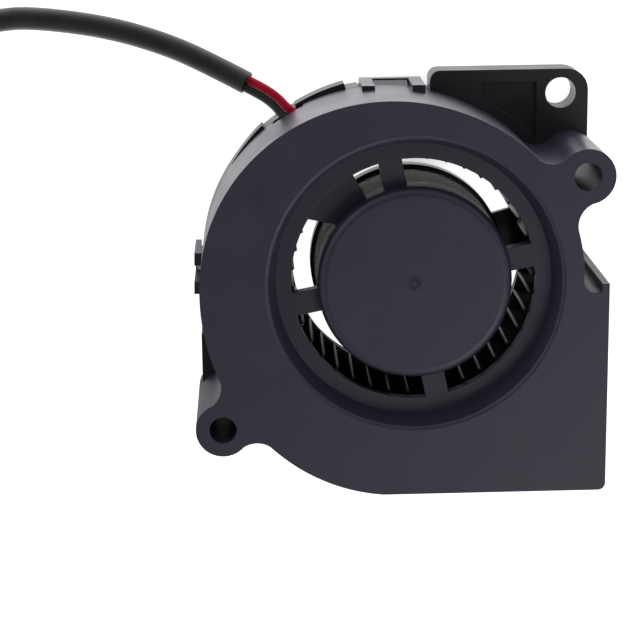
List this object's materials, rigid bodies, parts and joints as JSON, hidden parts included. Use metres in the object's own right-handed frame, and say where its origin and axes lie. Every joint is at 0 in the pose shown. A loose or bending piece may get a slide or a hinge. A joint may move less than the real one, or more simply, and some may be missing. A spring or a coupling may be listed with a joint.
{
  "type": "dc blower fan",
  "caption": "Flat radial blower with a spiral housing, air inlets on both faces, a side outlet, a bladed rotor that spins on its shaft, screw lugs and a sleeved lead with a plug.",
  "frame": {"origin": "on the rotor axis, at the outer face of the rear cover, which lies on the ground", "axes": "+Z along the rotor axis from the rear cover to the motor base side; +X out of the outlet; +Y towards the corner plate"},
  "size_m": [0.1098, 0.0604, 0.02],
  "materials": {
    "housing_plastic": "semi-gloss black moulding",
    "cover_plastic": "satin black moulding",
    "impeller_plastic": "semi-gloss black moulding",
    "tube_brass": "turned",
    "bearing_steel": "ground",
    "lamination_steel": "stamped sheets, dull",
    "bobbin_plastic": "natural nylon",
    "copper_wire": "enamelled copper, glossy",
    "tinned_wire": "tinned",
    "board_laminate": "solder mask over glass laminate",
    "chip_plastic": "moulded epoxy",
    "capacitor_ceramic": "sintered ceramic",
    "yoke_steel": "plated, dull grey",
    "magnet_ferrite": "bonded ferrite, matt",
    "clip_plastic": "nylon washer",
    "lead_red_skin": "glossy insulation",
    "lead_black_skin": "glossy insulation",
    "sleeve_plastic": "satin sleeve",
    "tie_plastic": "satin band",
    "connector_plastic": "natural nylon",
    "terminal_brass": "stamped"
  },
  "bodies": {
    "housing": {"front_housing": "housing_plastic", "rear_cover": "cover_plastic", "bearing_tube": "tube_brass", "front_bearing": "bearing_steel", "rear_bearing": "bearing_steel", "stator_core": "lamination_steel", "front_insulator": "bobbin_plastic", "rear_insulator": "bobbin_plastic", "winding_1": "copper_wire", "winding_2": "copper_wire", "winding_3": "copper_wire", "winding_4": "copper_wire", "winding_pins": "tinned_wire", "circuit_board": "board_laminate", "hall_sensor": "chip_plastic", "driver_chip": "chip_plastic", "filter_capacitor": "capacitor_ceramic", "lead_red": "lead_red_skin", "lead_black": "lead_black_skin", "lead_sleeve": "sleeve_plastic", "lead_coil": "sleeve_plastic", "lead_tie": "tie_plastic", "lead_tail_red": "lead_red_skin", "lead_tail_black": "lead_black_skin", "connector_housing": "connector_plastic", "connector_terminals": "terminal_brass"},
    "rotor": {"impeller": "impeller_plastic", "front_bearing_inner_ring": "bearing_steel", "rear_bearing_inner_ring": "bearing_steel", "rotor_yoke": "yoke_steel", "magnet_ring": "magnet_ferrite", "shaft": "bearing_steel", "shaft_bush": "tube_brass", "preload_spring": "bearing_steel", "retaining_clip": "clip_plastic"}
  },
  "joints": [
    {"name": "rotor_spin", "type": "hinge", "parent": "housing", "child": "rotor", "pos_m": [0, 0, 0.01], "axis": [0, 0, 1], "continuous": true}
  ]
}
